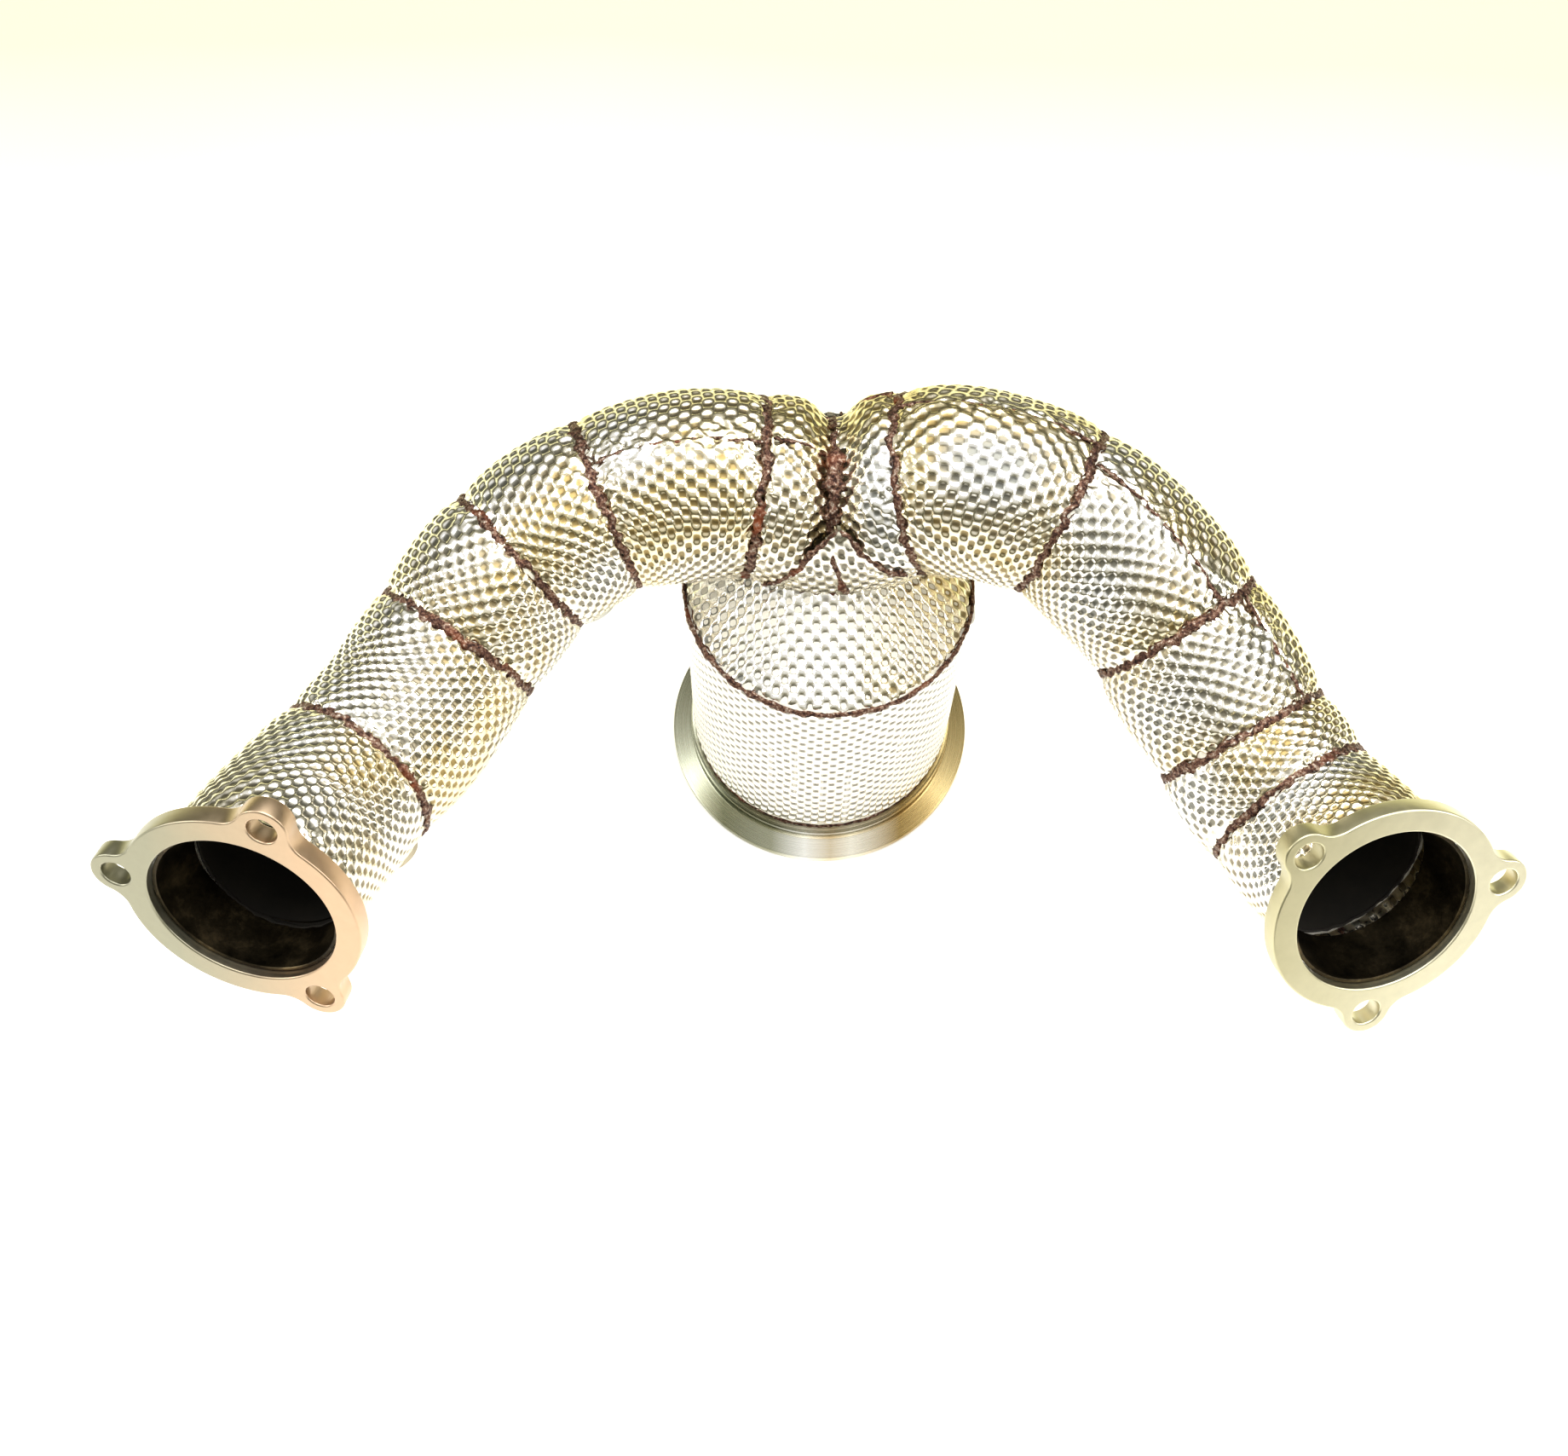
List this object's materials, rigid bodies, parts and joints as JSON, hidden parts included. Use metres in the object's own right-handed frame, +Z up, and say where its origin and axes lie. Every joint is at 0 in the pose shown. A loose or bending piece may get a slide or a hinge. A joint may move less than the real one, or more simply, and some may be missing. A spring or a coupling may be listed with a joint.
{
  "type": "exhaust manifold",
  "caption": "Twin-inlet exhaust manifold: foil-wrapped curved pipes from bolted flanges merge over a short catalyst can with a V-band outlet flange.",
  "frame": {"origin": "centre of the outlet flange's face, on the can's axis", "axes": "+Z up along the can's axis, away from the outlet; +X from the left inlet to the right; -Y towards the inlets"},
  "size_m": [0.5207, 0.2573, 0.2279],
  "materials": {
    "flange_steel": "machined stainless steel with light heat tint",
    "pipe_steel": "drawn stainless steel, heat-tinted straw to brown",
    "embossed_foil": "bright embossed stainless foil",
    "fibre_mat": "matt ceramic fibre",
    "catalyst_honeycomb": "matt coated honeycomb"
  },
  "bodies": {
    "root": {"arm_sensor_bung": "flange_steel", "brick_mat": "fibre_mat", "can_foil": "embossed_foil", "can_inlet_cone": "pipe_steel", "can_mat": "fibre_mat", "can_sensor_bung": "flange_steel", "can_shell": "pipe_steel", "catalyst_brick": "catalyst_honeycomb", "flange_sensor_bung": "flange_steel", "front_saddle_foil": "embossed_foil", "left_foil_1": "embossed_foil", "left_foil_2": "embossed_foil", "left_foil_3": "embossed_foil", "left_foil_4": "embossed_foil", "left_foil_5": "embossed_foil", "left_foil_6": "embossed_foil", "left_front_mat": "fibre_mat", "left_front_pipe": "pipe_steel", "left_inlet_cone": "pipe_steel", "left_inlet_flange": "flange_steel", "left_rear_mat": "fibre_mat", "left_rear_pipe": "pipe_steel", "merge_collector": "pipe_steel", "rear_saddle_foil": "embossed_foil", "right_foil_1": "embossed_foil", "right_foil_2": "embossed_foil", "right_foil_3": "embossed_foil", "right_foil_4": "embossed_foil", "right_foil_5": "embossed_foil", "right_foil_6": "embossed_foil", "right_front_mat": "fibre_mat", "right_front_pipe": "pipe_steel", "right_inlet_cone": "pipe_steel", "right_inlet_flange": "flange_steel", "right_rear_mat": "fibre_mat", "right_rear_pipe": "pipe_steel", "top_foil": "embossed_foil", "top_mat": "fibre_mat", "vband_outlet_flange": "flange_steel"}
  },
  "joints": []
}
